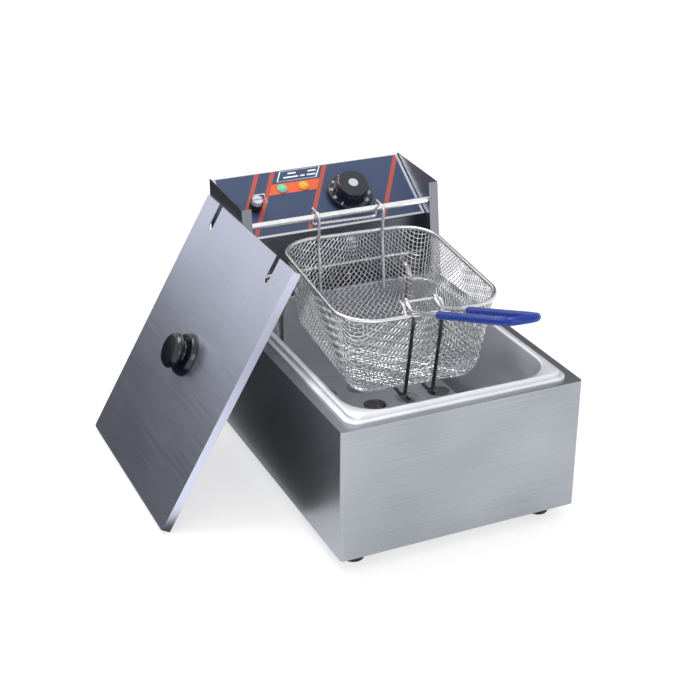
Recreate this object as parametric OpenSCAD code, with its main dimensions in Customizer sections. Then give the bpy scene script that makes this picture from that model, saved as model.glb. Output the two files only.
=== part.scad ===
// Countertop deep fryer with a lift-out tank, a lift-off control head,
// a hook-on basket and a flat lid that leans beside the housing.
// Millimetres. The origin is the middle of the base plate's underside.
// +X is the operator's right, +Y is the back, +Z is up.

/* [Housing] */
// Width of the housing
body_w = 288; // [284:1:300]
// Depth of the housing
body_d = 422; // [420:1:440]
// Height of the housing without its feet
body_h = 155; // [153:1:158]
// Thickness of the sheet steel
sheet = 1.2; // [1:0.1:1.4]
// Height of the rubber feet
foot_h = 18; // [14:1:24]
// Diameter of the rubber feet
foot_d = 28; // [24:1:30]

/* [Oil tank] */
// Width over the tank's rim
tank_w = 265; // [263:1:266]
// Depth over the tank's rim
tank_d = 325; // [323:1:326]
// Height of the tank, from its floor to its rim
tank_h = 150; // [120:1:151]

/* [Control head] */
// Width over the head's two cheeks
head_w = 255; // [253:1:258]
// Height of the head's top edge above the base plate
head_top = 291; // [289:1:293]
// Diameter of the rail that the basket hooks onto
rail_d = 8; // [7:0.5:8]
// Diameter of the thermostat's dial
dial_d = 58; // [52:1:60]
// Diameter of the heating element's tube
element_d = 8; // [6:0.5:8]

/* [Basket] */
// Width of the basket's rim, between the middles of its wire
basket_w = 189.5; // [180:0.5:192]
// Depth of the basket's rim, between the middles of its wire
basket_d = 226.9; // [218:0.5:228]
// Height of the basket
basket_h = 105; // [90:1:108]
// Length of the handle, forward of the rim
handle_len = 231; // [180:1:260]
// Angle at which the handle rises at rest
handle_rise = 23; // [15:1:30]

/* [Lid] */
// Width of the lid
lid_w = 269; // [268:1:270]
// Length of the lid
lid_d = 327; // [325:1:329]
// Angle at which the lid leans, from the floor
lid_lean = 60.2; // [60:0.1:61]

/* [Hidden] */

round_fn = 48;
soft_fn = 24;
hair = 0.3;                          // gap between curved faces that meet
bore_gap = 0.05;                     // radial gap of a running fit

front_y = -body_d / 2;
rear_y = body_d / 2;
foot_x = body_w / 2 - 28;
foot_y = body_d / 2 - 30;
foot_bore_r = 2.2;

tank_y = front_y + 8.25 + tank_d / 2;
tank_wall = 1;
rim_low = 2.6;                       // height of the rim's outer step
rim_top = body_h + 7.5;
rim_flat = 10.8;
well_w = tank_w - 2.5 * rim_flat;
well_d = tank_d - 2 * rim_flat;
tank_floor = rim_top - tank_h;

head_in = head_w / 2 - sheet;
panel_low_y = rear_y - 82.6;
panel_low_z = head_top - 54;
panel_slope = atan2(head_top - panel_low_z, rear_y - panel_low_y);
panel_len = norm([head_top - panel_low_z, rear_y - panel_low_y]);
panel_w = 251;
riser_low_z = body_h + 34;
cheek_low_z = body_h + 14.7;
cheek_step_y = rear_y - 82;
cheek_front = [[rear_y - 124, cheek_low_z], [rear_y - 108.3, head_top - 5]];
rail_y = rear_y - 105.7;
rail_z = head_top - 27.7;
terminal_y = rear_y - 77;
element_x = 88.7;
element_y = rear_y - 113.4;
element_exit_z = body_h + 27;
element_low_z = tank_floor + 27;
cover_z = element_low_z + 12;
cover_front_y = tank_y - well_d / 2 + 24;
cover_rear_y = element_y - 12;
knob_at = [37.5, 44.5];
fuse_at = [-86, 46];
lamp_at = [[-43.8, 67.5], [-15.2, 67.5]];
spindle_r = 3;
gland_at = [88, body_h + 32];
gland_r = 4.5;

basket_at = [11.3, rear_y - 111.6, rail_z - 25.8];
basket_turn = -3.45;                 // the basket hangs a little askew
basket_dip = 2.6;
basket_r = 43;
basket_lean = 12.5;                  // how far the walls lean in, top to bottom
basket_edge = 28;                    // radius between the walls and the floor
rim_wire = 5;
hook_wire = 4;
hook_x = [-44.3, 37.7];
bar_y = -basket_d + 17.5;
bar_z = 8.4;
bar_r = 2;
handle_x = -3.2;
handle_half = 16.7;
bracket_half = 22;
brace_x = [handle_x - handle_half, handle_x + handle_half];
grip_d = 8.4;
handle_wire_d = 5;
grip_start = 68;

lid_skirt = 10;
lid_plate = 1;
// The lid stands on its front skirt and its slotted edge leans on the left cheek
lid_mid = [
  (lid_skirt - lid_plate) * sin(lid_lean) - lid_d / 2 * cos(lid_lean) - head_w / 2 - hair,
  rear_y + 2.7 - lid_w / 2,
  lid_d / 2 * sin(lid_lean) - foot_h
];
notch_x = 89.5;
notch_w = 11;
notch_len = 32;

// ---- shared shapes ----

module rounded(w, d, r) {
  square([w - 2 * r, d], center = true);
  square([w, d - 2 * r], center = true);
  for (x = [-1, 1], y = [-1, 1])
    translate([x * (w / 2 - r), y * (d / 2 - r)]) circle(r, $fn = round_fn);
}

module plate(w, d, t, r) linear_extrude(t) rounded(w, d, r);

module pin(r, h) cylinder(r = r, h = h, $fn = round_fn);

module pin_x(r, from, to)
  translate([from, 0, 0]) rotate([0, 90, 0]) pin(r, to - from);

module pin_y(r, from, to)
  translate([0, from, 0]) rotate([-90, 0, 0]) pin(r, to - from);

// A plate that stands across X, drawn as [y, z] points
module upright(x, t, points)
  translate([x, 0, 0]) rotate([90, 0, 90]) linear_extrude(t) polygon(points);

module block(low, high) translate(low) cube(high - low);

module on_panel() translate([0, panel_low_y, panel_low_z]) rotate([panel_slope, 0, 0]) children();

module at_knob() on_panel() translate(concat(knob_at, 0)) children();

module at_fuse() on_panel() translate(concat(fuse_at, 0)) children();

module in_basket() translate(basket_at) rotate([0, 0, basket_turn]) rotate([basket_dip, 0, 0]) children();

module in_lid() translate(lid_mid) rotate([0, -lid_lean, 0]) rotate([0, 0, -90]) children();

// ---- wires: a round section swept along a path ----

function unit(v) = v / norm(v);

function carry(u, t) = unit(u - (u * t) * t);

function bend(points, r, n = 5) = [
  for (i = [0 : len(points) - 1])
    if (i == 0 || i == len(points) - 1) points[i]
    else for (k = [0 : n])
      let (a = points[i] + r * unit(points[i - 1] - points[i]),
           b = points[i] + r * unit(points[i + 1] - points[i]),
           s = k / n)
      (1 - s) * (1 - s) * a + 2 * s * (1 - s) * points[i] + s * s * b
];

function ring_path(w, d, r, n) = [
  for (c = [[1, 1, 0], [-1, 1, 90], [-1, -1, 180], [1, -1, 270]])
    for (k = [0 : n])
      let (a = c[2] + 90 * k / n)
      [c[0] * (w / 2 - r) + r * cos(a), c[1] * (d / 2 - r) + r * sin(a), 0]
];

module wire(points, d, sides = 10, closed = false) {
  n = len(points);
  tangents = [
    for (i = [0 : n - 1])
      closed ? unit(points[(i + 1) % n] - points[(i + n - 1) % n])
             : unit(points[min(i + 1, n - 1)] - points[max(i - 1, 0)])
  ];
  side = abs(tangents[0][2]) > 0.9 ? [1, 0, 0] : [0, 0, 1];
  ups = [
    for (i = 0, u = carry(side, tangents[0]); i < n;
         i = i + 1, u = i < n ? carry(u, tangents[i]) : u) u
  ];
  skin = [
    for (i = [0 : n - 1])
      let (v = cross(tangents[i], ups[i]))
      for (k = [0 : sides - 1])
        let (a = 360 * k / sides)
        points[i] + d / 2 * (cos(a) * ups[i] + sin(a) * v)
  ];
  walls = [
    for (i = [0 : closed ? n - 1 : n - 2], k = [0 : sides - 1])
      let (j = (i + 1) % n, m = (k + 1) % sides)
      [i * sides + k, j * sides + k, j * sides + m, i * sides + m]
  ];
  ends = closed ? [] : [
    [for (k = [0 : sides - 1]) k],
    [for (k = [0 : sides - 1]) (n - 1) * sides + sides - 1 - k]
  ];
  polyhedron(points = skin, faces = concat(walls, ends), convexity = 6);
}

// ---- housing ----

module housing_shell() color("lightsteelblue") {
  difference() {
    translate([0, 0, sheet]) plate(body_w, body_d, body_h - sheet, 4);
    plate(body_w - 2 * sheet, body_d - 2 * sheet, body_h - sheet, 4 - sheet);
    translate([0, tank_y, body_h - 2 * sheet])
      plate(well_w + 6, well_d + 6, 3 * sheet, 41);
    for (x = [-75 : 30 : 75], z = [60, 78, 96])
      translate([x, rear_y, z]) cube([20, 6, 5], center = true);
  }
  difference() {
    translate([0, 0, sheet]) plate(body_w - 2 * sheet, body_d - 2 * sheet, sheet, 4 - sheet);
    plate(body_w - 26, body_d - 26, 3 * sheet, 3);
    base_screw_places() translate([0, 0, -1]) pin(1.6, 6);
  }
}

module base_screw_places()
  for (x = [-1, 1], y = [-150, 0, 150]) translate([x * (body_w / 2 - 7), y, 0]) children();

module foot_places() for (x = [-1, 1], y = [-1, 1]) translate([x * foot_x, y * foot_y, 0]) children();

module base_plate() color("silver") difference() {
  plate(body_w, body_d, sheet, 4);
  foot_places() translate([0, 0, -1]) pin(foot_bore_r, 4);
  base_screw_places() translate([0, 0, -1]) pin(1.6, 4);
  for (x = [-60 : 24 : 60], y = [-90, 0, 90])
    translate([x, y, 0]) cube([6, 50, 4], center = true);
}

module foot(x, y) color("#1b1b1c") translate([x * foot_x, y * foot_y, -foot_h]) difference() {
  cylinder(r1 = foot_d / 2 - 2, r2 = foot_d / 2, h = foot_h, $fn = round_fn);
  translate([0, 0, -1]) pin(foot_bore_r, foot_h + 2);
  translate([0, 0, -1]) pin(5.5, 9);
}

module foot_screws() color("silver") foot_places() {
  translate([0, 0, 8 - foot_h]) rotate([180, 0, 0]) pin(4.5, 3);
  translate([0, 0, 8 - foot_h]) pin(2, foot_h);
  difference() {
    translate([0, 0, sheet]) pin(4, 3);
    translate([0, 0, sheet - 1]) pin(2, 5);
  }
}

module base_screws() color("silver") base_screw_places() {
  rotate([180, 0, 0]) pin(3, 1.8);
  pin(1.5, 6);
}

// ---- oil tank ----

module well(w, d, low, high, edge, corner) hull() for (x = [-1, 1], y = [-1, 1]) {
  translate([x * (w / 2 - edge - 2), y * (d / 2 - edge - 2), low + edge]) sphere(edge, $fn = soft_fn);
  translate([x * (w / 2 - corner), y * (d / 2 - corner), high - 0.1]) cylinder(r = corner, h = 0.1, $fn = 32);
}

module oil_tank() color("gainsboro") translate([0, tank_y, 0]) difference() {
  union() {
    translate([0, 0, body_h]) plate(tank_w, tank_d, rim_low, 15);
    translate([0, 0, body_h + rim_low]) plate(tank_w - 11, tank_d - 11, rim_top - body_h - rim_low, 12);
    well(well_w + 2 * tank_wall, well_d + 2 * tank_wall, tank_floor, body_h + 1, 25, 40.5);
  }
  well(well_w, well_d, tank_floor + tank_wall, rim_top + 1, 24, 39.5);
}

// ---- control head ----

module head_cheek() {
  front_low = cheek_front[0];
  front_high = cheek_front[1];
  run = [sheet, 0];
  upright(0, sheet, [
    [rear_y, body_h], [rear_y, head_top], front_high, front_low,
    [cheek_step_y, cheek_low_z], [cheek_step_y, body_h]
  ]);
  upright(-12 + sheet, 12, [front_low, front_high, front_high + run, front_low + run]);
}

module head_cheek_right() color("#9a9da3") translate([head_in, 0, 0]) head_cheek();

module head_cheek_left() color("#4a4d52") mirror([1, 0, 0]) translate([head_in, 0, 0]) head_cheek();

module control_panel() color("silver") on_panel() difference() {
  union() {
    translate([-panel_w / 2, 0, -sheet]) cube([panel_w, panel_len - 2, sheet]);
    for (x = [-panel_w / 2, panel_w / 2 - sheet]) translate([x, 4, -9]) cube([sheet, 80, 9]);
  }
  translate(concat(knob_at, -3)) pin(5.1, 6);
  translate(concat(fuse_at, -3)) pin(6.5, 6);
  for (p = lamp_at) translate(concat(p, -3)) pin(5.2, 6);
}

module panel_overlay() color("#3d4a68") on_panel() difference() {
  translate([-panel_w / 2 + 4, 3.5, 0]) cube([panel_w - 8, panel_len - 7, 0.3]);
  translate(concat(knob_at, -3)) pin(5.1, 6);
  translate(concat(fuse_at, -3)) pin(6.5, 6);
  for (p = lamp_at) translate(concat(p, -3)) pin(5.2, 6);
}

module riser_plate() color("#4c5058") {
  block([-head_in, panel_low_y, riser_low_z], [head_in, panel_low_y + sheet, panel_low_z - 1]);
  block([-head_in, panel_low_y, riser_low_z], [head_in, terminal_y, riser_low_z + sheet]);
  block([-head_in + 4, panel_low_y - 1.4, riser_low_z], [head_in - 4, panel_low_y, riser_low_z + 5]);
}

module element_plate() color("#3a3d43") difference() {
  block([-head_in, terminal_y, body_h + sheet], [head_in, terminal_y + sheet, riser_low_z + sheet]);
  for (x = [-1, 1]) translate([x * element_x, terminal_y, element_exit_z]) pin_y(element_d / 2 + 0.1, -4, 4);
  for (x = [-12, 12]) translate([x, terminal_y, element_exit_z]) pin_y(1.6, -4, 4);
}

module head_base() color("silver")
  block([-head_in, terminal_y, body_h], [head_in, rear_y - sheet, body_h + sheet]);

module cover_screw_places()
  for (x = [-1, 1], z = [body_h + 12, head_top - 40]) translate([x * (head_in - 10), rear_y, z]) children();

module rear_cover() color("silver") difference() {
  block([-head_in, rear_y - sheet, body_h], [head_in, rear_y, head_top - 3]);
  translate([gland_at[0], rear_y, gland_at[1]]) pin_y(8.1, -4, 4);
  cover_screw_places() pin_y(1.6, -4, 4);
  for (x = [-60 : 20 : 20], z = [body_h + 62, body_h + 74, body_h + 86])
    translate([x, rear_y, z]) cube([12, 6, 4], center = true);
}

module rear_cover_screws() color("silver") cover_screw_places() {
  pin_y(1.5, -8, 0);
  pin_y(3.2, 0, 1.8);
}

module basket_rail() color("white") translate([0, rail_y, rail_z]) pin_x(rail_d / 2, -head_in, head_in);

function element_path() =
  let (front = tank_y - well_d / 2 + 34, back = element_y - 42, step = 2 * element_x / 5, low = element_low_z)
  concat(
    [[-element_x, terminal_y + 16, element_exit_z], [-element_x, element_y, element_exit_z],
     [-element_x, element_y, low], [-element_x, front, low]],
    [for (i = [1 : 4]) let (x = -element_x + i * step) each
      i % 2 == 1 ? [[x, front, low], [x, back, low]] : [[x, back, low], [x, front, low]]],
    [[element_x, front, low], [element_x, element_y, low], [element_x, element_y, element_exit_z],
     [element_x, terminal_y + 16, element_exit_z]]
  );

module heating_element() color("#6e6a66") wire(bend(element_path(), 16), element_d, 10);

module element_nuts() color("silver") for (x = [-1, 1])
  translate([x * element_x, terminal_y, element_exit_z]) difference() {
    union() {
      rotate([90, 0, 0]) cylinder(r = 8, h = 5, $fn = 6);
      pin_y(7, sheet, sheet + 4);
    }
    pin_y(element_d / 2 + 0.1, -6, 8);
  }

module element_cover() color("gainsboro") {
  run = cover_rear_y - cover_front_y;
  difference() {
    translate([0, (cover_front_y + cover_rear_y) / 2, cover_z]) plate(206, run, sheet, 30);
    for (x = [-86, -43, 0, 43, 86], i = [0 : 4])
      if (abs(x) < 86 || (i > 0 && i < 4))
        translate([x, cover_front_y + 30 + i * (run - 60) / 4, cover_z - 1]) pin(14, 4);
  }
}

// Four strips hold the cover up between the element's runs, just clear of the tank's floor
module cover_legs() color("gainsboro")
  for (x = [-2, 2] * element_x / 5, y = [cover_front_y + 70, cover_rear_y - 60])
    block([x - sheet / 2, y, tank_floor + tank_wall + 1], [x + sheet / 2, y + 14, cover_z]);

module element_guard() color("gainsboro") {
  top = body_h + 13;
  translate([0, element_y + 1, 0]) rotate([90, 0, 0]) linear_extrude(sheet) polygon([
    [-80, cover_z + sheet], [-80, top - 18], [-73, top], [73, top], [80, top - 18], [80, cover_z + sheet]
  ]);
  block([-80, element_y - 20, cover_z + sheet], [80, element_y + 1 - sheet, cover_z + 2 * sheet]);
}

module sensor_bulbs() color("#9a9690") for (x = [-12, 12])
  translate([x, element_y + 8, tank_floor + 62]) pin(3, 70);

function capillary_path(x, from, to) = bend([
  [x, element_y + 8, from], [x, element_y + 8, element_exit_z], [x, terminal_y + 14, element_exit_z], to
], 8);

module sensor_capillaries() color("#9a9690") {
  wire(capillary_path(12, tank_floor + 132, [38, terminal_y + 26, element_exit_z + 30]), 2, 8);
  wire(capillary_path(-12, tank_floor + 132, [-30, terminal_y + 26, element_exit_z + 20]), 2, 8);
}

module thermostat_body() color("#d9cfae") at_knob() difference() {
  union() {
    translate([-17, -17, -28]) cube([34, 34, 26]);
    translate([0, 0, -3]) pin(5, 6.5);
  }
  translate([0, 0, -22]) pin(spindle_r + bore_gap, 40);
}

module safety_limiter() color("#2a2a2c") translate([-30, terminal_y + 30, element_exit_z + 22]) {
  block([-14, -10, 0], [14, 14, 26]);
  translate([0, 2, 26]) pin(5, 6);
}

module lamp_lens(at) on_panel() translate(concat(at, 0)) {
  translate([0, 0, 0.3]) pin(6, 2.2);
  translate([0, 0, 2.5]) cylinder(r1 = 5, r2 = 3.6, h = 1.6, $fn = round_fn);
}

module lamp_lens_green() color("limegreen") lamp_lens(lamp_at[0]);

module lamp_lens_yellow() color("gold") lamp_lens(lamp_at[1]);

module lamp_bodies() color("#e8e6e0") on_panel() for (p = lamp_at) translate(concat(p, -24)) {
  pin(5, 24.3);
  for (x = [-2.6, 1.8]) translate([x, -2, -6]) cube([0.8, 4, 6]);
}

module fuse_holder() color("#1c1c1e") at_fuse() difference() {
  union() {
    translate([0, 0, 0.3]) pin(8, 9.7);
    translate([0, 0, -36]) pin(6.3, 37);
  }
  translate([0, 0, -34]) pin(5, 46);
}

module fuse_cap() color("#c9cbd0") at_fuse() difference() {
  union() {
    translate([0, 0, 10.1]) pin(6.25, 6);
    translate([0, 0, -3]) pin(5 - bore_gap, 14);
  }
  translate([-7, -0.9, 14.5]) cube([14, 1.8, 3]);
}

module fuse_link() color("whitesmoke") at_fuse() translate([0, 0, -33]) pin(3, 30);

module terminal_block() color("ivory") translate([30, terminal_y + 30, body_h + sheet]) difference() {
  cube([52, 18, 16]);
  for (i = [0 : 4]) translate([6 + i * 10, 9, 4]) pin(2.5, 20);
}

module contactor() color("#3f4246") translate([-96, terminal_y + 24, body_h + sheet]) {
  cube([44, 40, 44]);
  translate([6, 6, 44]) cube([32, 28, 6]);
}

module interlock_switch() color("#1c1c1e") translate([-30, rear_y - 34, body_h + sheet]) {
  cube([28, 10, 16]);
  translate([6, 5, 16]) pin(2, 3);
}

module cable_gland() color("#202022") translate([gland_at[0], rear_y, gland_at[1]]) difference() {
  union() {
    pin_y(8, -14, 1);
    rotate([-90, 0, 0]) cylinder(r = 12, h = 6, $fn = 6);
    translate([0, 6, 0]) rotate([-90, 0, 0]) cylinder(r1 = 10, r2 = 7.5, h = 10, $fn = round_fn);
  }
  pin_y(gland_r, -20, 20);
}

module gland_nut() color("#202022") translate([gland_at[0], rear_y - sheet, gland_at[1]]) difference() {
  rotate([90, 0, 0]) cylinder(r = 11.5, h = 5, $fn = 6);
  pin_y(8, -8, 4);
}

module earth_stud() color("goldenrod") translate([60, rear_y - 22, body_h + sheet]) {
  pin(2.5, 12);
  cylinder(r = 5, h = 3.5, $fn = 6);
}

// ---- thermostat dial ----

module dial_spindle() color("silver") at_knob() translate([0, 0, -20]) pin(spindle_r, 34);

module dial_skirt() color("#141416") at_knob() difference() {
  translate([0, 0, 3.8]) cylinder(r1 = dial_d / 2, r2 = dial_d / 2 - 2, h = 4.4, $fn = 64);
  translate([0, 0, 3]) pin(spindle_r, 8);
}

module dial_grip() color("#141416") at_knob() difference() {
  translate([0, 0, 8.2]) cylinder(r1 = 21.5, r2 = 19.5, h = 15.8, $fn = 64);
  translate([0, 0, 8]) pin(spindle_r, 6);
  for (a = [0 : 36 : 324]) rotate([0, 0, a]) translate([24.2, 0, 8]) pin(4, 17);
}

module dial_disc() color("silver") at_knob() translate([0, 0, 24]) pin(6, 0.6);

// ---- basket ----

module basket_rim() color("gainsboro") in_basket()
  translate([0, -basket_d / 2, 0]) wire(ring_path(basket_w, basket_d, basket_r, 8), rim_wire, 10, true);

module basket_form(inset, top) {
  edge = basket_edge - inset;
  half_w = basket_w / 2 - inset;
  half_d = basket_d / 2 - inset;
  hull() for (x = [-1, 1], y = [-1, 1]) {
    translate([x * (half_w - basket_lean - edge), y * (half_d - basket_lean - edge), edge + inset - basket_h])
      sphere(edge, $fn = soft_fn);
    translate([x * (half_w - basket_r), y * (half_d - basket_r), top - 0.1])
      cylinder(r = basket_r, h = 0.1, $fn = 32);
  }
}

module basket_mesh() color("gainsboro") in_basket() translate([0, -basket_d / 2, 0]) difference() {
  basket_form(0, -rim_wire / 2);
  basket_form(0.9, -rim_wire / 2 + 0.3);
}

// Middle of a wire that lies just inside the back wall
function wall_y(z) = (z + rim_wire / 2) * basket_lean / (basket_h - basket_edge - rim_wire / 2) - 3.8;

function hook_path() = let (l = hook_x[0], r = hook_x[1], top = 32, back = 18.3, low = 10) concat(
  [[l, wall_y(-70), -70], [l, wall_y(-8), -8], [l, -4.6, 2], [l, -4.6, top], [l, back, top], [l, back, low]],
  [[r, back, low], [r, back, top], [r, -4.6, top], [r, -4.6, 2], [r, wall_y(-8), -8], [r, wall_y(-70), -70]]
);

module basket_hook() color("gainsboro") in_basket() wire(bend(hook_path(), 4.8, 4), hook_wire, 10);

function brace_path(x) = [
  [x, -basket_d - 4.4, 0], [x, -basket_d - 4.6, -5], [x, -basket_d + 9.5, 4 - basket_h],
  [x, -basket_d + 22, -basket_h - 2.2], [x, -basket_d + 60, -basket_h - 2.2]
];

module basket_braces() color("#3c3c3e") in_basket() for (x = brace_x) wire(bend(brace_path(x), 4, 4), hook_wire, 10);

module handle_bar() color("gainsboro") in_basket()
  translate([handle_x, bar_y, bar_z]) pin_x(bar_r, bar_r - bracket_half, bracket_half - bar_r);

function bracket_path(x) = [
  [x, bar_y + 3, bar_z], [x, bar_y - 6, bar_z], [x, 4.8 - basket_d, 0], [x, 5.4 - basket_d, -7]
];

module handle_bracket() color("gainsboro") in_basket()
  for (x = [-bracket_half, bracket_half]) wire(bend(bracket_path(handle_x + x), 2.5, 3), 2 * bar_r, 10);

// ---- handle ----

function along(s) = [0, -basket_d - 4 - s * cos(handle_rise), 6.2 + s * sin(handle_rise)];

module handle_wire() color("gainsboro") in_basket() difference() {
  union() for (side = [-1, 1]) translate([handle_x + side * handle_half, 0, 0]) {
    translate([0, bar_y, bar_z]) pin_x(5, -2.5, 2.5);
    wire(bend([[0, bar_y - 3.4, bar_z], [0, 4 - basket_d, 6.2], along(0), along(grip_start)], 3.5, 4),
         handle_wire_d, 10);
  }
  translate([handle_x, bar_y, bar_z]) pin_x(bar_r + bore_gap, -30, 30);
}

module handle_grip() color("royalblue") in_basket() translate([handle_x, 0, 0]) {
  out = along(handle_len - grip_d / 2);
  side = [handle_half, 0, 0];
  wire(bend([along(grip_start) - side, out - side, out + side, along(grip_start) + side], 14, 8), grip_d, 16);
}

// ---- lid ----

module lid_panel() color("lightgray") in_lid() difference() {
  plate(lid_w, lid_d, lid_skirt, 3);
  translate([0, 3 + 2 * lid_plate, -1]) plate(lid_w - 2 * lid_plate, lid_d + 6, lid_skirt - lid_plate + 1, 2);
  for (x = [-1, 1]) translate([x * notch_x, lid_d / 2 - notch_len + notch_w / 2, -1]) {
    pin(notch_w / 2, lid_skirt + 2);
    translate([-notch_w / 2, 0, 0]) cube([notch_w, notch_len, lid_skirt + 2]);
  }
  pin(2.1, lid_skirt + 2);
}

module lid_knob() color("#161618") in_lid() translate([0, 0, lid_skirt]) difference() {
  union() {
    cylinder(r1 = 27, r2 = 24, h = 7, $fn = 64);
    translate([0, 0, 7]) pin(12, 9);
    translate([0, 0, 15]) cylinder(r1 = 20, r2 = 22, h = 4, $fn = 64);
    translate([0, 0, 19]) cylinder(r1 = 22, r2 = 18, h = 5, $fn = 64);
  }
  translate([0, 0, -1]) pin(2, 15);
}

module lid_knob_screw() color("silver") in_lid() {
  translate([0, 0, lid_skirt - lid_plate - 2.5]) pin(4, 2.5);
  translate([0, 0, lid_skirt - lid_plate]) pin(2, 14);
}

housing_shell();
base_plate();
foot(-1, -1);  // foot_front_left
foot(1, -1);  // foot_front_right
foot(-1, 1);  // foot_rear_left
foot(1, 1);  // foot_rear_right
foot_screws();
base_screws();
oil_tank();
head_cheek_left();
head_cheek_right();
control_panel();
panel_overlay();
riser_plate();
element_plate();
head_base();
rear_cover();
rear_cover_screws();
basket_rail();
heating_element();
element_nuts();
element_cover();
cover_legs();
element_guard();
sensor_bulbs();
sensor_capillaries();
thermostat_body();
safety_limiter();
lamp_lens_green();
lamp_lens_yellow();
lamp_bodies();
fuse_holder();
terminal_block();
contactor();
interlock_switch();
cable_gland();
gland_nut();
earth_stud();
dial_spindle();
dial_skirt();
dial_grip();
dial_disc();
fuse_cap();
fuse_link();
basket_rim();
basket_mesh();
basket_hook();
basket_braces();
handle_bar();
handle_bracket();
handle_wire();
handle_grip();
lid_panel();
lid_knob();
lid_knob_screw();
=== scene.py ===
# %% [markdown]
# # A countertop deep fryer
# A deep fryer of this kind is folded and deep drawn stainless steel: a box
# on rubber feet, an oil tank that drops into it, and a control head that
# stands over the tank's back edge. A wire basket hangs from the head's rail
# and a flat lid leans beside the box. Every size and every joint is already
# settled in the CAD model, so this lesson only gives that model its looks:
# rounded folds, real woven wire, brushed and drawn metal, printed film.
# The CAD model is loaded first, and its box is kept to be printed again at the end.

import math

import bmesh
import bpy
import numpy as np
from mathutils import Matrix, Vector


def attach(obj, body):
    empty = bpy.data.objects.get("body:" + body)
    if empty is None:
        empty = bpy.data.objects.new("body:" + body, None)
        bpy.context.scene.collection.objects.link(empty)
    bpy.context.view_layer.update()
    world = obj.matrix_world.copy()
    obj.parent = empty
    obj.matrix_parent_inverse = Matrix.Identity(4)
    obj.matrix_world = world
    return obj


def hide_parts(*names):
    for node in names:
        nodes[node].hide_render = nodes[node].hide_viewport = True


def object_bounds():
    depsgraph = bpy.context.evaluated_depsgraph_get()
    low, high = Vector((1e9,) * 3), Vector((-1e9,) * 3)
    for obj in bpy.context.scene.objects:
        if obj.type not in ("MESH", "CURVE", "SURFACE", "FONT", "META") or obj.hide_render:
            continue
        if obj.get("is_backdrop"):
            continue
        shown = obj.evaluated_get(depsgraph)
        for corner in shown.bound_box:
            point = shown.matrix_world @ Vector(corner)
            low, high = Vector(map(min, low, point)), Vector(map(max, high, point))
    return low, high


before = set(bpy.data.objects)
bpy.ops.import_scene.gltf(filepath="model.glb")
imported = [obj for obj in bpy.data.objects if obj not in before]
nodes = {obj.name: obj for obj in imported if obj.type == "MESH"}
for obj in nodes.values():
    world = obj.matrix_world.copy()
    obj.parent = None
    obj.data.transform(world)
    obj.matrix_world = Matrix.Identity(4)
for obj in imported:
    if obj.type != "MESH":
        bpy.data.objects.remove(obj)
cad_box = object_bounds()

# %% [markdown]
# ## Sizes
# The maker's drawing is in millimetres and Blender works in metres, so each
# place is worked out in millimetres and turned to metres once, where a mesh
# is made. The main sizes are named here. Some parts are tilted: the control
# panel and its dial slope up to the back, the basket hangs a little askew,
# and the lid leans. Each gets a matrix that carries its own flat drawing to
# where it belongs, which is far easier than working out tilted places.

# %% Name the sizes and the tilted places
MM = 0.001
FOOT_H = 18
BODY_H = 155
TANK_W, TANK_D, TANK_Y, TANK_TOP = 265, 325, -40.25, 162.5
WELL_W, WELL_D, WELL_FLOOR = 238, 303.4, 13.5
BASKET_W, BASKET_D, BASKET_H = 189.5, 226.9, 105
ELEMENT_X, ELEMENT_Y, ELEMENT_EXIT = 88.7, 97.6, 182
HANDLE_X, HANDLE_HALF, HANDLE_RISE = -3.2, 16.7, math.radians(23)
PANEL_RISE, PANEL_RUN = 54, 82.6

on_panel = Matrix.Translation((0, 128.4, 237)) @ Matrix.Rotation(math.atan2(PANEL_RISE, PANEL_RUN), 4, "X")
at_dial = on_panel @ Matrix.Translation((37.5, 44.5, 0))
in_basket = (
    Matrix.Translation((11.3, 99.4, 237.5))
    @ Matrix.Rotation(math.radians(-3.45), 4, "Z")
    @ Matrix.Rotation(math.radians(2.6), 4, "X")
)
lid_lean = math.radians(60.2)
in_lid = (
    Matrix.Translation((
        9 * math.sin(lid_lean) - 163.5 * math.cos(lid_lean) - 127.8,
        79.2,
        163.5 * math.sin(lid_lean) - FOOT_H,
    ))
    @ Matrix.Rotation(-lid_lean, 4, "Y")
    @ Matrix.Rotation(math.radians(-90), 4, "Z")
)
print("the panel is", round(math.hypot(PANEL_RISE, PANEL_RUN), 1), "mm long")

# %% [markdown]
# ## One way to add a node
# Materials and Geometry Nodes are both trees of nodes, and building them
# line by line hides what they do. One small function adds any node, sets
# its properties, and either links a socket or fills in its value, so that
# each tree further down reads like its own description. A node given as a
# value stands for its first output. A second function
# turns the hex colours that a painter would quote, which are in sRGB, into
# the linear values that a renderer works with.

# %% Helpers for node trees and colours
def add_node(tree, kind, inputs=None, **settings):
    node = tree.nodes.new(kind)
    for setting, value in settings.items():
        setattr(node, setting, value)
    for socket, value in (inputs or {}).items():
        if isinstance(value, bpy.types.Node):
            value = value.outputs[0]
        if isinstance(value, bpy.types.NodeSocket):
            tree.links.new(value, node.inputs[socket])
        else:
            node.inputs[socket].default_value = value
    return node


def maths(tree, operation, *values):
    return add_node(tree, "ShaderNodeMath", dict(enumerate(values)), operation=operation)


def linear(code):
    parts = [int(code[i : i + 2], 16) / 255 for i in (1, 3, 5)]
    return [c / 12.92 if c <= 0.04045 else ((c + 0.055) / 1.055) ** 2.4 for c in parts] + [1]


def finish_of(name, colour, metallic, roughness, **sockets):
    material = bpy.data.materials.new(name)
    material.use_nodes = True
    shader = material.node_tree.nodes["Principled BSDF"]
    shader.inputs["Base Color"].default_value = linear(colour)
    shader.inputs["Metallic"].default_value = metallic
    shader.inputs["Roughness"].default_value = roughness
    for socket, value in sockets.items():
        shader.inputs[socket.replace("_", " ")].default_value = value
    return material


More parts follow.
